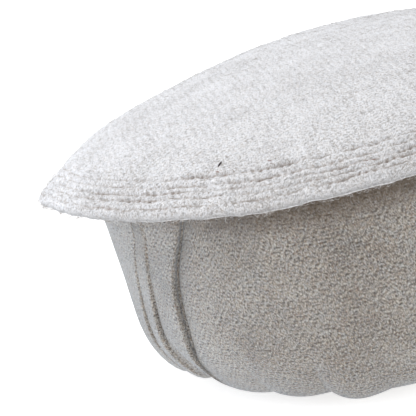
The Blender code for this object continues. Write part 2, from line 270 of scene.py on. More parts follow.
def turn_points(start_r, tip_r, end_r, tip_z, start_reach, end_reach, up, steps, flat=0.0):
    """The cloth's middle line round one turn of the roll: two quarter ellipses."""
    points = []
    for step in range(steps + 1):
        angle = math.pi * step / steps
        first_half = angle <= math.pi / 2 + 0.001
        side_r = start_r if first_half else end_r
        reach = start_reach if first_half else end_reach
        near_r = tip_r + math.copysign(flat / 2, side_r - tip_r)
        radius = near_r + (side_r - near_r) * abs(math.cos(angle))
        points.append(np.array((radius, tip_z + up * reach * (1 - math.sin(angle)))))
    if flat:
        far_r = tip_r + math.copysign(flat / 2, end_r - tip_r)
        points.insert(steps // 2 + 1, np.array((far_r, tip_z)))
    return points


def side_middle_line():
    """Middle line of the side's cloth: under the rim, down round the head, and through the roll."""
    rim_points, dome_points, shoulder_points = FLANGE_POINTS
    below_rim = -SEAM_GAP / 2 - WOOL / 2
    below_dome = WOOL + SEAM_GAP + WOOL / 2
    line = [rim_point(inward, below_rim) for inward in np.linspace(SEAM_GAP, RIM_LENGTH, rim_points)]
    for radius in np.linspace(FLANGE_RADII[0], FLANGE_RADII[2], dome_points):
        line.append(dome_point(radius, below_dome))
    shoulder = line[-1]
    for angle in np.radians(np.linspace(0.0, 90.0, shoulder_points + 1)[1:]):
        across = (shoulder[0] - TUBE_LINE) * math.sin(angle)
        line.append(shoulder - np.array((across, SHOULDER_DROP * (1 - math.cos(angle)))))
    for turn, steps, run in zip(TURNS, TURN_STEPS, RUN_POINTS):
        flat = FOOT_FLAT if turn is TURNS[0] else 0.0
        points = turn_points(*turn, steps=steps, flat=flat)
        start = line[-1]
        for step in range(1, run + 1):
            line.append(start + (points[0] - start) * step / (run + 1))
        line += points
    for step in range(1, HEM_POINTS + 1):
        line.append(points[-1] - np.array((0.0, HEM_LENGTH * step / HEM_POINTS)))
    return line


def cloth_section(line, thickness):
    """Both faces of a cloth round its middle line, joined at its two raw edges."""
    line = np.array(line)
    steps = np.diff(line, axis=0)
    steps /= np.linalg.norm(steps, axis=1)[:, None]
    before = np.vstack((steps[:1], steps))
    after = np.vstack((steps, steps[-1:]))
    along = before + after
    along /= np.linalg.norm(along, axis=1)[:, None]
    half = thickness / 2 / np.maximum((along * before).sum(1), 0.5)
    normal = np.stack((-along[:, 1], along[:, 0]), 1)
    left = line + normal * half[:, None]
    right = line - normal * half[:, None]
    return np.vstack((left, right[::-1]))


# The soft shape of the cloth
def tuck_azimuth(top, middle, foot, height):
    """Where a crease runs at these heights: a parabola through its three azimuths."""
    high, mid, low = TUCK_HEIGHTS
    height = np.clip(height, 0.0, TUCK_END)
    at_high = top * (height - mid) * (height - low) / ((high - mid) * (high - low))
    at_mid = middle * (height - high) * (height - low) / ((mid - high) * (mid - low))
    at_low = foot * (height - high) * (height - mid) / ((low - high) * (low - mid))
    return at_high + at_mid + at_low


def leaning_azimuth(azimuth, height):
    """Where the column that stands at this azimuth half way up is found at this height."""
    stops = [FOLLOW_FROM, *(tuck[1] for tuck in TUCKS), FOLLOW_TO]
    places = [np.full_like(height, FOLLOW_FROM)]
    places += [tuck_azimuth(*tuck[:3], height) for tuck in TUCKS]
    bow_height, bow_reach, bow = MAIN_BOW
    places[-1] = places[-1] + bow * np.exp(-(((height - bow_height) / bow_reach) ** 2))
    places.append(np.full_like(height, FOLLOW_TO))
    result = azimuth.copy()
    for index in range(len(stops) - 1):
        low, high = stops[index], stops[index + 1]
        inside = (azimuth > low) & (azimuth <= high)
        share = (azimuth - low) / (high - low)
        value = places[index] + (places[index + 1] - places[index]) * share
        result = np.where(inside, value, result)
    return result


def from_crease(middle, azimuth):
    """How far right of the bottom of a crease a column stands, in metres along the band."""
    return np.radians(azimuth - middle) * BAND_RADIUS - FOLD_LAP


def tuck_shift(azimuth, height):
    """How far the tucks push out the column that stands at this azimuth half way up.

    The two small tucks are pressed flatter under the rim."""
    shift = np.zeros_like(azimuth)
    flatter, pressed_from, pressed_to = TUCKS_PRESSED
    main_ridge = max(tuck[3] for tuck in TUCKS)
    for _, middle, _, ridge, crease, ridge_width in TUCKS:
        offset = from_crease(middle, azimuth)
        rise = smooth_step(-ridge_width, -CREASE_WIDTH, offset)
        fall = smooth_step(-CREASE_WIDTH, 0.0, offset)
        back = 1 - smooth_step(0.0, CREASE_RECOVERY, offset)
        pressed = 1 - flatter * smooth_step(pressed_from, pressed_to, height) * (ridge < main_ridge)
        shift += pressed * np.where(offset < 0, ridge * rise - (ridge + crease) * fall, -crease * back)
    return shift


def slit_depth(radius, height, azimuth):
    """Depth of the dark slits in the outer skin, where a fold lies on the cloth beside it."""
    depth = np.zeros_like(azimuth)
    shallower, closed_from, closed_to = SLITS_CLOSED
    at_floor, foot_from, foot_to = SLITS_AT_FOOT
    for (_, middle, *_), slit in zip(TUCKS, CREASE_SLITS):
        offset = from_crease(middle, azimuth)
        share = 1 - shallower * smooth_step(closed_from, closed_to, height) * (slit < max(CREASE_SLITS))
        share *= at_least(at_floor, smooth_step(foot_from, foot_to, height))
        depth += slit * share * np.exp(-((offset / SLIT_HALF) ** 2))
    return depth * smooth_step(*SLIT_SKIN, radius)


def foot_lift(azimuth):
    """How far the foot of the roll is off the floor."""
    lift = np.zeros_like(azimuth)
    for index, (cusp, cusp_lift, lobe_lift) in enumerate(LOBES):
        next_cusp, next_lift = LOBES[(index + 1) % len(LOBES)][:2]
        share = ((azimuth - cusp) % 360) / ((next_cusp - cusp) % 360)
        level = cusp_lift + (next_lift - cusp_lift) * share
        bulge = np.sin(math.pi * np.clip(share, 0, 1)) ** LOBE_SHARPNESS
        lift = np.where(share < 1, level - (level - lobe_lift) * bulge, lift)
    return lift


def cloth_shape(radius, height, azimuth):
    """Where points of the plain turned hat lie on the real, soft one."""
    out = smooth_step(HEAD_RADIUS + WOOL, BAND_RADIUS - WOOL, radius)
    on_band = out * (1 - smooth_step(*BAND_ENDS, height))
    on_band *= 1 - smooth_step(*BAND_OUTSIDE, radius)
    at_rim = smooth_step(*RIM_BEGINS, height)
    at_rim *= smooth_step(RIM_WAVES_FROM, RIM_RADIUS, radius)
    lift = foot_lift(azimuth)
    near_foot = 1 - smooth_step(0.0, LOBE_HEIGHT, height)
    new_azimuth = azimuth + on_band * (leaning_azimuth(azimuth, height) - azimuth)
    tucked = tuck_shift(azimuth, height)
    out_by = np.maximum(tucked, 0.0) + waves(BAND_OUT_WAVES, azimuth) + np.interp(height, *zip(*BAND_SWELL))
    at_floor, foot_from, foot_to = CREASES_AT_FOOT
    creased = np.maximum(-tucked, 0.0) * at_least(at_floor, smooth_step(foot_from, foot_to, height))
    sunk = on_band * (creased + slit_depth(radius, height, azimuth))
    back = np.radians(azimuth) * UNDER_FOLD
    new_radius = radius + on_band * out_by - sunk * np.cos(back)
    new_azimuth = new_azimuth + np.degrees(sunk * np.sin(back) / BAND_RADIUS)
    new_radius = new_radius - on_band * near_foot * lift * LOBE_PULL
    new_radius = new_radius + at_rim * waves(RIM_OUT_WAVES, azimuth)
    rise = waves(RIM_RISE_WAVES, azimuth) + waves(EDGE_WAVES, azimuth)
    new_height = height + near_foot * lift + at_rim * rise
    for middle, half_width, drop, stand_out in RIM_DIPS:
        away = np.abs((azimuth - middle + 180) % 360 - 180)
        share = (1 - smooth_step(0.0, half_width, away)) * at_rim
        share = share * smooth_step(DIPS_FROM, RIM_RADIUS, radius)
        new_height = new_height - drop * share
        new_radius = new_radius + stand_out * share
    return new_radius, np.maximum(new_height, 0.0), new_azimuth


def placed(radius, height, azimuth):
    """Points in the frame, as one array of coordinates."""
    radius, height, azimuth = cloth_shape(radius, height, azimuth)
    angle = np.radians(azimuth)
    x = AXIS_X + radius * np.sin(angle)
    y = AXIS_Y - radius * np.cos(angle)
    return np.stack((x, y, height), -1)


# The rows of stitches
def row_waves(table, size, phase, azimuth):
    """Unevenness along one row, in its own size and from its own phase."""
    return waves([(cycles, share * size, times * phase) for cycles, share, times in table], azimuth)


def row_inward(row, azimuth):
    """How far up the rim's slope a row of stitches runs at this azimuth."""
    inward, wander, phase, _ = QUILT_ROWS[row]
    return inward + row_waves(WANDER_WAVES, wander, phase, azimuth)


def stitch_count(row, azimuth):
    """How many stitches of a row have been passed at this azimuth; whole at a needle hole."""
    phase = QUILT_ROWS[row][2]
    even = np.radians(azimuth) * RIM_RADIUS / STITCH_PITCH + phase
    return even + row_waves(PITCH_WAVES, 1.0, phase, azimuth)


def quilting(inward, azimuth):
    """How far the quilted rim stands off the plain one, and how much painted shade lies in its grooves there.
    """
    relief = np.zeros_like(azimuth)
    painted_shade = np.zeros_like(azimuth)
    from_row = np.full_like(azimuth, 1.0)
    looser, loosest, loosest_to, tight = LOOSE_STITCHES
    sewn_hard = smooth_step(loosest_to, tight, azimuth) + (1 - smooth_step(looser, loosest, azimuth))
    narrow, wide = GROOVE_HALF
    for row, (_, _, phase, depth) in enumerate(QUILT_ROWS):
        offset = inward - row_inward(row, azimuth)
        pull = np.clip(PULL + row_waves(PULL_WAVES, 1.0, phase, azimuth), LEAST_PULL, 1)
        hole = (0.5 + 0.5 * np.cos(2 * math.pi * stitch_count(row, azimuth))) ** 2
        groove = np.exp(-((offset / (narrow + (wide - narrow) * hole)) ** 2))
        relief -= groove * pull * (depth + HOLE_DEPTH * hole) * at_least(LOOSE_DEPTH, sewn_hard)
        # painted shade along the row's groove, darkest at the needle holes
        painted_shade += np.exp(-((offset / ROW_SHADE_HALF) ** 2)) * pull * at_least(ROW_SHADE_BETWEEN, hole)
        from_row = np.minimum(from_row, np.abs(offset) / PUFF_HALF)
    starts, full, still_full, ended = PUFFED
    puffed = smooth_step(starts, full, inward) * (1 - smooth_step(still_full, ended, inward))
    swell = PUFF * puffed * np.sin(0.5 * math.pi * np.clip(from_row, 0, 1))
    return relief + swell, painted_shade * at_least(LOOSE_SHADE, sewn_hard)


def on_crown(inward, azimuth, offset):
    """Points of the crown's outer face, from how far up the rim's slope they lie, lifted by offset."""
    inward, offset = inward[..., None], offset[..., None]
    on_rim = EDGE_CENTRE + RIM_INWARD * inward + RIM_NORMAL * (EDGE_RADIUS + offset)
    share = 1 - (inward - RIM_LENGTH) * math.cos(RIM_SLOPE) / DOME_EDGE[0]
    on_dome = np.concatenate((share * DOME_EDGE[0], dome_height(share)), -1) + RIM_NORMAL * offset
    point = np.where(inward > RIM_LENGTH, on_dome, on_rim)
    return placed(point[..., 0], point[..., 1], azimuth)


# Meshes
def mesh_object(name, points, faces, material):
    data = bpy.data.meshes.new(name)
    data.from_pydata([tuple(point) for point in points], [], faces)
    data.materials.append(material)
    data.shade_smooth()
    piece = bpy.data.objects.new(name, data)
    bpy.context.scene.collection.objects.link(piece)
    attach(piece, "root")
    return piece


def cloth_map(piece, places):
    """A UV map in metres of cloth. places gives each corner's spot on the flat cloth."""
    layer = piece.data.uv_layers.new(name="cloth")
    layer.data.foreach_set("uv", np.asarray(places, np.float32).ravel())


def mark(piece, name, values):
    """Gives each point of a piece a value that its material reads."""
    piece.data.attributes.new(name, "FLOAT", "POINT").data.foreach_set("value", values)


def ring_faces(first, count, next_first, next_count):
    """Faces between two rings. Where the counts differ, each coarse edge takes several fine ones."""
    faces = []
    coarse = min(count, next_count)
    up, down = count // coarse, next_count // coarse
    for column in range(coarse):
        upper = [first + (column * up + step) % count for step in range(up + 1)]
        lower = [next_first + (column * down + step) % next_count for step in range(down + 1)]
        faces.append(upper + lower[::-1])
    return faces


def felt_relief(points):
    """Unevenness of felted wool, as a distance for each point."""
    relief = np.zeros(len(points))
    for size, scale, shift in FELT:
        relief += [size * noise.noise(Vector(point) * scale + Vector(shift)) for point in points]
    return relief


def make_crown(material):
    """The crown: a low dome, its quilted sloping rim, the rounded edge and the inner face."""
    rings = crown_section()
    points, starts, counts, flat_places, grooves, shades = [], [], [], [], [], []
    walked, previous = 0.0, rings[0][0]
    for point, inward, normal in rings:
        count = CROWN_COLUMNS if normal is None else CROWN_COLUMNS * QUILTED_FINER
        azimuth = np.arange(count) * 360.0 / count - 180.0
        walked += float(np.linalg.norm(point - previous))
        previous = point
        radii, heights = np.full(count, point[0]), np.full(count, point[1])
        painted_shade, turned = np.zeros(count), 0.0
        if normal is not None:
            relief, painted_shade = quilting(np.full(count, inward), azimuth)
            relief += felt_relief(placed(radii, heights, azimuth))
            radii, heights = radii + relief * normal[0], heights + relief * normal[1]
            turned = -inward / EDGE_RADIUS
        starts.append(sum(counts))
        counts.append(count)
        # painted shade along the quilted rows, and painted shade under the rim's edge
        grooves.append(np.clip(painted_shade, 0.0, 1.0))
        shades.append(np.full(count, smooth_step(*EDGE_SHADE, turned)))
        points.append(placed(radii, heights, azimuth))
        angle = np.radians(azimuth)
        flat_places.append(np.stack((walked * np.sin(angle), -walked * np.cos(angle)), -1))
    faces = []
    for index in range(len(rings) - 1):
        faces += ring_faces(starts[index], counts[index], starts[index + 1], counts[index + 1])
    faces.append(list(range(counts[0]))[::-1])
    faces.append([starts[-1] + column for column in range(counts[-1])])
    faces = [face[::-1] for face in faces]
    flat_places = np.vstack(flat_places)
    piece = mesh_object("crown_cloth", np.vstack(points), faces, material)
    cloth_map(piece, flat_places[[corner for face in faces for corner in face]])
    mark(piece, "groove", np.hstack(grooves))
    mark(piece, "shade", np.hstack(shades))
    return piece


def side_columns():
    """Azimuths of the side's columns: close together at the tucks, even elsewhere."""
    spots = np.linspace(-180.0, 180.0, 3601)
    density = np.ones_like(spots)
    more, right_by, half_width = TUCK_COLUMNS
    for _, middle, *_ in TUCKS:
        density += more * np.exp(-(((spots - middle - right_by) / half_width) ** 2))
    share = np.concatenate(([0.0], np.cumsum((density[1:] + density[:-1]) / 2)))
    return np.interp(np.arange(SIDE_COLUMNS) / SIDE_COLUMNS, share / share[-1], spots)


def make_side(material):
    """The side: the flange under the rim, the tube round the head and the roll."""
    line = side_middle_line()
    section = cloth_section(line, WOOL)
    azimuth = side_columns()
    rings, half = len(section), len(line)
    foot = sum(FLANGE_POINTS) + RUN_POINTS[0]
    foot_points = TURN_STEPS[0] + 2  # one point more than steps, and one for the flat of the foot
    top = foot + foot_points + RUN_POINTS[1] + TURN_STEPS[1]
    points, starts, counts, grooves = [], [], [], []
    for ring, (radius, height) in enumerate(section):
        on_line = ring if ring < half else rings - 1 - ring
        outside = ring >= half and foot <= on_line < top
        own = azimuth if outside else azimuth[::INNER_SHARE]
        starts.append(sum(counts))
        counts.append(len(own))
        radii, heights = np.full(len(own), radius), np.full(len(own), height)
        points.append(placed(radii, heights, own))
        # painted shade: dark brown in the creases' slits, and brown on the band under the rim
        slit = slit_depth(radii, heights, own) / max(CREASE_SLITS)
        rim_shade = np.interp(heights - waves(RIM_RISE_WAVES, own), *zip(*PAINTED_RIM_SHADE))
        painted_shade = SLIT_SHADE * slit**SLIT_FADE + rim_shade * (radius > OUTER_SKIN)
        grooves.append(np.clip(painted_shade, 0.0, 1.0))
    walked = np.concatenate(([0.0], np.cumsum(np.linalg.norm(np.diff(section, axis=0), axis=1))))
    walked[half:] = walked[rings - 1] - walked[half:]

    # across the cloth, the map follows the folds half way up the roll
    band_radii, half_way_up = np.full(SIDE_COLUMNS, BAND_RADIUS), np.full(SIDE_COLUMNS, TUCK_HEIGHTS[1])
    level = placed(band_radii, half_way_up, azimuth)
    gaps = np.linalg.norm(np.roll(level, -1, axis=0) - level, axis=1)
    across = np.concatenate(([0.0], np.cumsum(gaps))) * (CLOTH_ROUND / gaps.sum())
    faces, places = [], []
    for ring in range(rings):
        after = (ring + 1) % rings
        for face in ring_faces(starts[ring], counts[ring], starts[after], counts[after]):
            faces.append(face)
            owners = [ring if 0 <= corner - starts[ring] < counts[ring] else after for corner in face]
            columns = [(corner - starts[owner]) * (SIDE_COLUMNS // counts[owner])
                       for corner, owner in zip(face, owners)]
            wraps = max(columns) - min(columns) > SIDE_COLUMNS // 2
            for column, owner in zip(columns, owners):
                if wraps and column < SIDE_COLUMNS // 2:
                    column += SIDE_COLUMNS
                places.append((across[column], walked[owner]))
    piece = mesh_object("side_cloth", np.vstack(points), faces, material)
    cloth_map(piece, places)
    mark(piece, "groove", np.hstack(grooves))
    return piece


def strands(name, paths, radius, material, sides=3):
    """Many short threads or fibres in one mesh: tubes that get thinner towards each end."""
    count, steps = paths.shape[:2]
    tangent = np.gradient(paths, axis=1)
    tangent /= np.linalg.norm(tangent, axis=2, keepdims=True) + 1e-12
    helper = np.where(np.abs(tangent[..., 2:]) < 0.9, (0.0, 0.0, 1.0), (1.0, 0.0, 0.0))
    side = np.cross(tangent, helper)
    side /= np.linalg.norm(side, axis=2, keepdims=True)
    up = np.cross(tangent, side)
    end = 0.12  # a strand's ends are this far, in radians, from where it would be a point
    taper = np.sin(np.linspace(end, math.pi - end, steps)) ** 0.5
    radius = np.broadcast_to(radius, (count,))[:, None] * taper[None]
    turns = np.arange(sides) * 2 * math.pi / sides
    ring = (side[:, :, None] * np.cos(turns)[None, None, :, None]
            + up[:, :, None] * np.sin(turns)[None, None, :, None])
    points = (paths[:, :, None] + ring * radius[:, :, None, None]).reshape(-1, 3)
    faces = []
    for strand in range(count):
        base = strand * steps * sides
        for step in range(steps - 1):
            for turn in range(sides):
                after = (turn + 1) % sides
                low = base + step * sides
                faces.append((low + turn, low + after, low + sides + after, low + sides + turn))
        faces.append([base + turn for turn in range(sides)][::-1])
        faces.append([base + (steps - 1) * sides + turn for turn in range(sides)])
    return mesh_object(name, points, faces, material)


def make_rim_stitches(material):
    """Five rows of running stitches that lie in the rim's grooves and dive in at each hole."""
    paths = []
    for row in range(len(QUILT_ROWS)):
        spots = np.linspace(-180.0, 180.0, 20001)
        passed = stitch_count(row, spots)
        holes = np.arange(math.ceil(passed[0]), math.floor(passed[-1]))
        t = np.linspace(*STITCH_SPAN, STITCH_POINTS)[None]
        azimuth = np.interp(holes[:, None] + t, passed, spots)
        inward = row_inward(row, azimuth)
        offset = quilting(inward, azimuth)[0] + THREAD_ARCH * np.sin(math.pi * t) - THREAD_SUNK
        paths.append(on_crown(inward, azimuth, offset))
    return strands("rim_stitches", np.vstack(paths), THREAD_RADIUS, material, sides=5)


def make_specks(name, specks, material):
    """Bits of straw and dark hair that are felted into the wool, lying from one spot to another."""
    paths = []
    for inward, azimuth, inward_to, azimuth_to, _ in specks:
        share = np.linspace(0.0, 1.0, SPECK_POINTS)
        up = inward + (inward_to - inward) * share
        around = azimuth + (azimuth_to - azimuth) * share
        paths.append(on_crown(up, around, SPECK_RISE + quilting(up, around)[0]))
    return strands(name, np.stack(paths), np.array([speck[-1] for speck in specks]), material, sides=8)


def make_fibres(name, cloth, wanted, count, length, lift, radius, material, seed):
    """Loose wool fibres that curl off a cloth's surface where wanted(centres, normals) is true."""
    draw = np.random.default_rng(seed)
    faces = len(cloth.data.polygons)
    centres, normals, areas = np.zeros(faces * 3), np.zeros(faces * 3), np.zeros(faces)
    cloth.data.polygons.foreach_get("center", centres)
    cloth.data.polygons.foreach_get("normal", normals)
    cloth.data.polygons.foreach_get("area", areas)
    centres, normals = centres.reshape(-1, 3), normals.reshape(-1, 3)
    weight = areas * wanted(centres, normals)
    chosen = draw.choice(faces, size=count, p=weight / weight.sum())
    root, normal = centres[chosen], normals[chosen]
    spread = draw.normal(size=(count, 3))
    spread -= (spread * normal).sum(1, keepdims=True) * normal
    spread /= np.linalg.norm(spread, axis=1, keepdims=True)
    bend = np.cross(normal, spread)
    root = root + spread * draw.normal(scale=HAIR_SPREAD, size=(count, 1))
    size = length * draw.uniform(*HAIR_LENGTHS, size=(count, 1))
    rise = lift * draw.uniform(*HAIR_LIFTS, size=(count, 1))
    curl = draw.normal(scale=HAIR_CURL, size=(count, 1))
    arch_start, arch_end = HAIR_ARCH
    path = []
    for t in np.linspace(0.0, 1.0, HAIR_POINTS):
        arch = math.sin(math.pi * (arch_start + (arch_end - arch_start) * t))
        level = spread * size * t + bend * size * curl * t * t
        path.append(root + level + normal * (rise * arch - ROOT_DEPTH))
    return strands(name, np.stack(path, 1), radius * draw.uniform(*HAIR_RADII, size=count), material)


def from_axis(centres):
    return np.hypot(centres[:, 0] - AXIS_X, centres[:, 1] - AXIS_Y)


def on_top(centres, normals):
    """The faces of the crown that look up."""
    return (normals[:, 2] > 0.5) * 1.0


def on_edge(centres, normals):
    """The outermost faces of the crown, apart from those that look straight up."""
    return ((from_axis(centres) > RIM_RADIUS - 0.0055) & (normals[:, 2] < 0.75)) * 1.0


def on_band(centres, normals):
    """The faces of the roll that look outwards, below the rim."""
    away = from_axis(centres)
    outward = (normals[:, 0] * (centres[:, 0] - AXIS_X) + normals[:, 1] * (centres[:, 1] - AXIS_Y)) / away
    return ((away > BAND_RADIUS - 0.012) & (outward > 0.1) & (centres[:, 2] < 0.095)) * 1.0


# Materials
class Wire:
    """One output socket of a material. Sums, products and powers of wires add their own nodes."""

    def __init__(self, finish, socket):
        self.finish, self.socket = finish, socket
        self.many = socket.type != "VALUE"

    def work(self, operation, first, second=0.0):
        if any(isinstance(item, Wire) and item.many for item in (first, second)):
            inputs = [item if isinstance(item, (Wire, tuple)) else (item,) * 3 for item in (first, second)]
            return self.finish.node("ShaderNodeVectorMath", {"operation": operation}, inputs)
        return self.finish.node("ShaderNodeMath", {"operation": operation}, (first, second))

    def __add__(self, other):
        return self.work("ADD", self, other)

    def __radd__(self, other):
        return self.work("ADD", other, self)

    def __sub__(self, other):
        return self.work("SUBTRACT", self, other)

    def __rsub__(self, other):
        return self.work("SUBTRACT", other, self)

    def __mul__(self, other):
        return self.work("MULTIPLY", self, other)

    def __rmul__(self, other):
        return self.work("MULTIPLY", other, self)

    def __pow__(self, other):
        return self.work("POWER", self, other)

    def __rpow__(self, other):
        return self.work("POWER", other, self)

    def sine(self):
        return self.work("SINE", self)


class Finish:
    """A node material that is put together by Python expressions."""

    def __init__(self, name, roughness=0.9, sheen=0.0, sheen_roughness=0.5, specular=0.2,
                 sheen_tint=(1.0, 1.0, 1.0)):
        self.material = bpy.data.materials.new(name)
        self.material.use_nodes = True
        self.tree = self.material.node_tree
        self.shader = self.tree.nodes["Principled BSDF"]
        self.set("Roughness", roughness)
        self.set("Sheen Weight", sheen)
        self.set("Sheen Roughness", sheen_roughness)
        self.set("Specular IOR Level", specular)
        self.set("Sheen Tint", (*sheen_tint, 1.0))

    def set(self, socket, value):
        """Gives a socket of the shader a value that is the same all over the piece."""
        self.shader.inputs[socket].default_value = value

    def feed(self, socket, wire):
        """Gives a socket of the shader what changes over the piece."""
        self.tree.links.new(wire.socket, self.shader.inputs[socket])

    def node(self, kind, settings, inputs, output=0):
        """Adds a node: its settings first, then the values or wires of its sockets."""
        node = self.tree.nodes.new(kind)
        for setting, value in settings.items():
            setattr(node, setting, value)
        named = inputs.items() if isinstance(inputs, dict) else enumerate(inputs)
        for socket, value in named:
            if isinstance(value, Wire):
                self.tree.links.new(value.socket, node.inputs[socket])
            else:
                node.inputs[socket].default_value = value
        return Wire(self, node.outputs[output])

    def place_on_cloth(self):
        return self.node("ShaderNodeUVMap", {"uv_map": "cloth"}, ())

    def place_in_space(self):
        return self.node("ShaderNodeTexCoord", {}, (), output="Object")

    def marked(self, name):
        """The value that mark gave the points, or 0 where it gave none."""
        return self.node("ShaderNodeAttribute", {"attribute_name": name}, (), output="Fac")

    def blend(self, share, first, second):
        """The colour first where share is 0, second where it is 1."""
        first, second = ((*item, 1.0) if isinstance(item, tuple) else item for item in (first, second))
        # sockets 6 and 7 and output 2 are the Mix node's colours
        return self.node("ShaderNodeMix", {"data_type": "RGBA"}, {0: share, 6: first, 7: second}, output=2)

    def ramp(self, value, low, high, to_low=0.0, to_high=1.0):
        """A smooth rise from to_low to to_high as value goes from low to high."""
        ends = {"From Min": low, "From Max": high, "To Min": to_low, "To Max": to_high}
        return self.node("ShaderNodeMapRange", {"interpolation_type": "SMOOTHSTEP"}, {"Value": value, **ends})

    def clamp(self, value):
        return self.node("ShaderNodeClamp", {}, (value,))

    def speckle(self, place, scale, detail=2.0, roughness=0.5, output="Fac"):
        """Soft random spots, about scale of them in a metre. The output Color is a random vector."""
        spots = {"Vector": place, "Scale": scale, "Detail": detail, "Roughness": roughness}
        return self.node("ShaderNodeTexNoise", {"noise_dimensions": "3D"}, spots, output)

    def strokes(self, place, turn, width, length):
        """Random short strokes that are turned by an angle in degrees."""
        turned = {"Vector": place, "Rotation": (0.0, 0.0, math.radians(turn)), "Scale": (width, length, 1.0)}
        stretched = self.node("ShaderNodeMapping", {"vector_type": "TEXTURE"}, turned)
        return self.speckle(stretched, scale=1.0, detail=0.0)

    def bump(self, strength, distance, height):
        relief = {"Strength": strength, "Distance": distance, "Height": height}
        self.feed("Normal", self.node("ShaderNodeBump", {}, relief))


WANDER, SLOW_WANDER = 0.0010, 0.0028  # how far the yarns stray in narrow and in wide waves
RIB_POWER, ROW_POWER = 1.6, 1.4  # the higher, the narrower the dips between the twill's ribs and rows
# how much the strokes, the grain, the patches and the dips change the wool's lightness
STROKE_LIGHT, CROSS_LIGHT, GRAIN_LIGHT, PATCH_LIGHT, DIP_DARK = 1.6, 0.9, 0.7, 0.55, 0.42
MEAN_LIGHT = 0.54  # 0 is the cloth's dark colour, 0.5 the middle one and 1 the pale one
SPECK_SHARE = 0.8
FLECK_SOFT = 0.07  # how much further over its threshold a fleck has its full colour
# painted shade under the rim's edge: its greatest share and its grey
UNDER_EDGE_SHARE, UNDER_EDGE_TINT = 0.85, (0.24, 0.235, 0.235)


def wool_finish(name, dark, middle, pale, repeats, yarns, contrast, flecks, shade_tint, shade_uneven,
                relief, sheen, cool, warm):
    """Fulled woollen twill: dark dips in slanting rows, fibres along the yarns, heather flecks.

    repeats holds, for each of the twill's two directions, its repeats per metre across and along.
    The colour is multiplied by the tint cool in some small spots and by warm in the others."""
    wool = Finish(name, roughness=0.92, sheen=sheen, sheen_roughness=0.45, specular=0.15,
                  sheen_tint=(0.76, 0.87, 1.0))
    place = wool.place_on_cloth()
    body = wool.place_in_space()

    # the yarns wander a little from their straight lines
    wander = wool.speckle(body, scale=380.0, detail=1.0, output="Color")
    slow = wool.speckle(body, scale=70.0, detail=1.0, output="Color")
    moved = place + (wander - 0.5) * WANDER + (slow - 0.5) * SLOW_WANDER
    across = wool.node("ShaderNodeSeparateXYZ", {}, (moved,), output="X")
    along = wool.node("ShaderNodeSeparateXYZ", {}, (moved,), output="Y")
    (rib_across, rib_along), (row_across, row_along) = repeats
    rib = across * rib_across + along * rib_along
    row = across * row_across + along * row_along
    rib_wave = ((rib * (2 * math.pi)).sine() + 1.0) * 0.5
    row_wave = ((row * (2 * math.pi)).sine() + 1.0) * 0.5
    clumps = wool.ramp(wool.speckle(body, scale=300.0, detail=1.0), low=0.38, high=0.62, to_low=0.15)
    dips = (rib_wave ** RIB_POWER) * (row_wave ** ROW_POWER) * clumps

    # yarns show as short strokes in two slanting directions
    strokes, cross_strokes = (wool.strokes(place, *yarn) for yarn in yarns)
    grain = wool.speckle(body, scale=1500.0, detail=1.0, roughness=0.6)
    patches = wool.speckle(body, scale=42.0)
    light = (strokes - 0.5) * STROKE_LIGHT + (cross_strokes - 0.5) * CROSS_LIGHT
    light = light + (grain - 0.5) * GRAIN_LIGHT + (patches - 0.5) * PATCH_LIGHT
    light = MEAN_LIGHT + contrast * (light - dips * DIP_DARK)
    colour = wool.blend(wool.clamp(light * 2.0), dark, middle)
    colour = wool.blend(wool.clamp(light * 2.0 - 1.0), colour, pale)
    specks = wool.speckle(place, scale=1050.0, detail=0.0) + dips * 0.07
    specks = wool.ramp(specks, low=0.60, high=0.72) * contrast
    colour = wool.blend(specks * SPECK_SHARE, colour, dark)
    hue = wool.ramp(wool.speckle(body, scale=620.0, detail=1.0), low=0.32, high=0.68)
    colour = colour * wool.blend(hue, cool, warm)

    # heather: short brown and ochre fibres lying in the cloth
    for turn, width, length, threshold, tint, share in flecks:
        crowded = wool.speckle(body, scale=95.0, detail=1.0) - 0.5
        fleck = wool.strokes(place, turn, width, length) + crowded * 0.20
        fleck = wool.ramp(fleck, low=threshold, high=threshold + FLECK_SOFT)
        colour = wool.blend(fleck * share, colour, tint)

    # painted shade: brown in the quilting grooves, the creases and on the band under the rim, and grey under
    # the rim's edge
    groove = wool.marked("groove")
    uneven = (wool.speckle(body, scale=330.0) - 0.5) * shade_uneven * wool.ramp(groove, low=0.0, high=0.2)
    colour = wool.blend(wool.ramp(groove + uneven, low=0.0, high=1.0), colour, shade_tint)
    colour = wool.blend(wool.marked("shade") * UNDER_EDGE_SHARE, colour, UNDER_EDGE_TINT)
    wool.feed("Base Color", colour)

    fuzz = wool.speckle(body, scale=2600.0, detail=1.0, roughness=0.7)
    wool.bump(1.0, relief, (strokes + cross_strokes) * 0.7 + fuzz * 0.3 - dips * 0.9)
    return wool.material


def thread_finish(name, pale, dark):
    """Spun thread or straw with a fine grain, dark in some spots."""
    thread = Finish(name, roughness=0.75, sheen=0.2)
    body = thread.place_in_space()
    spots = thread.ramp(thread.speckle(body, scale=900.0), low=0.35, high=0.65)
    thread.feed("Base Color", thread.blend(spots, dark, pale))
    thread.bump(0.6, 0.0001, thread.speckle(body, scale=3500.0))
    return thread.material


def fibre_finish(name, pale, dark, dark_below):
    """Loose wool hairs, dark where soft random spots are below dark_below."""
    hair = Finish(name, roughness=0.7, sheen=0.4)
    spots = hair.speckle(hair.place_in_space(), scale=700.0, detail=0.0)
    spots = hair.ramp(spots, low=dark_below, high=dark_below + 0.12)
    hair.feed("Base Color", hair.blend(spots, dark, pale))
    return hair.material


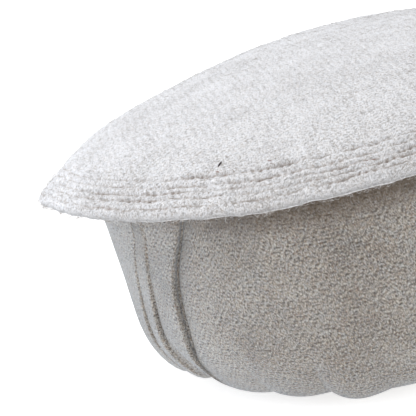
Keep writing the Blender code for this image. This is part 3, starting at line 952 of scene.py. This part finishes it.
# whole numbers of ribs and rows go round the side, so that the weave's ends meet at the back
SIDE_TWILL = ((240 / CLOTH_ROUND, -225.0), (32 / CLOTH_ROUND, 625.0))
SIDE_YARNS = ((17.0, 0.00030, 0.00130), (-12.0, 0.00026, 0.00078))  # turn, width, length
SIDE_FLECKS = (
    # turn, width, length, threshold, colour, share
    (20.0, 0.00042, 0.00100, 0.70, (0.12, 0.10, 0.088), 0.70),
    (-35.0, 0.00036, 0.00130, 0.72, (0.17, 0.12, 0.10), 0.70),
    (65.0, 0.00034, 0.00120, 0.68, (0.25, 0.145, 0.095), 0.75),
    (8.0, 0.00034, 0.00110, 0.70, (0.56, 0.46, 0.33), 0.60),
)
CROWN_TWILL = ((315.0, 53.0), (-293.0, 468.0))
CROWN_YARNS = ((-36.0, 0.00034, 0.00105), (-60.0, 0.00030, 0.00095))
CROWN_FLECKS = (
    (-50.0, 0.00036, 0.00090, 0.67, (0.38, 0.345, 0.315), 0.80),
    (28.0, 0.00034, 0.00180, 0.70, (0.40, 0.33, 0.27), 0.80),
    (80.0, 0.00028, 0.00260, 0.72, (0.36, 0.32, 0.29), 0.70),
)
crown_wool = wool_finish(
    "crown_wool_weave", dark=(0.465, 0.447, 0.437), middle=(0.797, 0.784, 0.794), pale=(0.955, 0.946, 0.962),
    repeats=CROWN_TWILL, yarns=CROWN_YARNS, contrast=0.90, flecks=CROWN_FLECKS,
    shade_tint=(0.36, 0.29, 0.245), shade_uneven=0.6, relief=0.00030, sheen=0.2,
    cool=(0.99, 1.0, 1.01), warm=(1.01, 1.0, 0.985))
side_wool = wool_finish(
    "side_wool_weave", dark=(0.117, 0.099, 0.085), middle=(0.340, 0.315, 0.286), pale=(0.612, 0.589, 0.550),
    repeats=SIDE_TWILL, yarns=SIDE_YARNS, contrast=0.96, flecks=SIDE_FLECKS,
    shade_tint=(0.105, 0.075, 0.050), shade_uneven=0.4, relief=0.00035, sheen=0.6,
    cool=(0.975, 1.0, 1.030), warm=(1.030, 0.995, 0.945))
stitch_thread = thread_finish("stitch_thread", (0.62, 0.57, 0.52), (0.38, 0.32, 0.27))
crown_hair = fibre_finish("crown_hair", (0.80, 0.79, 0.78), (0.35, 0.31, 0.28), 0.44)
dark_straw = thread_finish("dark_straw", (0.060, 0.042, 0.044), (0.040, 0.028, 0.030))
brown_straw = thread_finish("brown_straw", (0.34, 0.22, 0.17), (0.24, 0.14, 0.12))
side_hair = fibre_finish("side_hair", (0.66, 0.64, 0.60), (0.20, 0.16, 0.13), 0.40)

# The pieces
crown = make_crown(crown_wool)
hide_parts("crown")
side = make_side(side_wool)
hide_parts("rolled_side")
stitches = make_rim_stitches(stitch_thread)

DARK_SPECKS = ((0.0192, -25.15, 0.0220, -24.8, 0.00040),)  # up the slope and azimuth of both ends, radius
BROWN_SPECKS = (
    (0.0161, -25.1, 0.0155, -24.3, 0.00026),
    (0.0189, -15.1, 0.0181, -14.2, 0.00026),
    (0.0167, -14.5, 0.0166, -14.1, 0.00030),
    (0.0064, 3.1, 0.0054, 3.6, 0.00034),
    (0.0060, 2.1, 0.0062, 2.5, 0.00022),
)
make_specks("dark_speck", DARK_SPECKS, dark_straw)
make_specks("brown_specks", BROWN_SPECKS, brown_straw)

FIBRES = (
    # name, cloth, wanted, count, length, lift, radius, material, slot, seed
    ("crown_fibres", crown, on_top, 5200, 0.0026, 0.0004, 0.000045, crown_hair, "crown_wool", 3),
    ("edge_fibres", crown, on_edge, 5200, 0.0021, 0.0010, 0.00006, crown_hair, "crown_wool", 5),
    ("band_fibres", side, on_band, 5600, 0.0022, 0.0006, 0.00005, side_hair, "side_wool", 9),
)
fewer = 1
for name, cloth, wanted, count, length, lift, radius, material, slot, seed in FIBRES:
    fibres = make_fibres(name, cloth, wanted, count // fewer, length, lift, radius, material, seed)

# Floor, light and camera
FLOOR_GLOW = 0.68
SKY_COLOUR, SKY_STRENGTH = (0.96, 0.98, 1.0, 1.0), 0.74
LAMPS = (
    # name, place, target, size, power in watts, colour
    ("overhead_softbox", (-0.5, 0.5, 1.6), (0.0, 0.0, 0.1), 1.4, 14.2, (1.0, 0.99, 0.98)),
    ("left_window", (-1.6, 0.45, 0.5), (0.0, 0.0, 0.07), 1.0, 11.5, (0.80, 0.88, 1.0)),
)
SENSOR, LENS = 36.0, 129.741  # millimetres
CAMERA_PLACE = (0.00171, -0.65782, 0.24563)
CAMERA_TURN = (74.4058, 16.0518, 1.5748)  # the second angle rolls the picture, as in the photo


def make_floor():
    pale = Finish("pale_floor", roughness=0.9, specular=0.1)
    pale.set("Base Color", (0.70, 0.70, 0.70, 1.0))
    pale.set("Emission Color", (1.0, 1.0, 1.0, 1.0))
    pale.set("Emission Strength", FLOOR_GLOW)
    bpy.ops.mesh.primitive_plane_add(size=24.0, location=(0.0, 0.0, -0.0002))
    plane = bpy.context.object
    plane.name = "floor"
    plane.data.materials.append(pale.material)
    return plane


def light_sky():
    world = bpy.data.worlds.new("studio")
    bpy.context.scene.world = world
    world.use_nodes = True
    background = world.node_tree.nodes["Background"]
    background.inputs["Color"].default_value = SKY_COLOUR
    background.inputs["Strength"].default_value = SKY_STRENGTH


def area_light(name, place, target, size, power, colour):
    lamp = bpy.data.lights.new(name, "AREA")
    lamp.shape, lamp.size, lamp.energy, lamp.color = "DISK", size, power, colour
    holder = bpy.data.objects.new(name, lamp)
    holder.location = place
    holder.rotation_euler = (Vector(target) - Vector(place)).to_track_quat("-Z", "Y").to_euler()
    bpy.context.scene.collection.objects.link(holder)


def place_camera():
    data = bpy.data.cameras.new("camera")
    data.sensor_width, data.lens = SENSOR, LENS
    data.clip_start, data.clip_end = 0.05, 60.0
    camera = bpy.data.objects.new("camera", data)
    camera.location = CAMERA_PLACE
    camera.rotation_euler = Euler([math.radians(angle) for angle in CAMERA_TURN])
    bpy.context.scene.collection.objects.link(camera)
    bpy.context.scene.camera = camera


floor = make_floor()
light_sky()
for lamp in LAMPS:
    area_light(*lamp)
place_camera()
bpy.context.scene.view_settings.view_transform = "Standard"
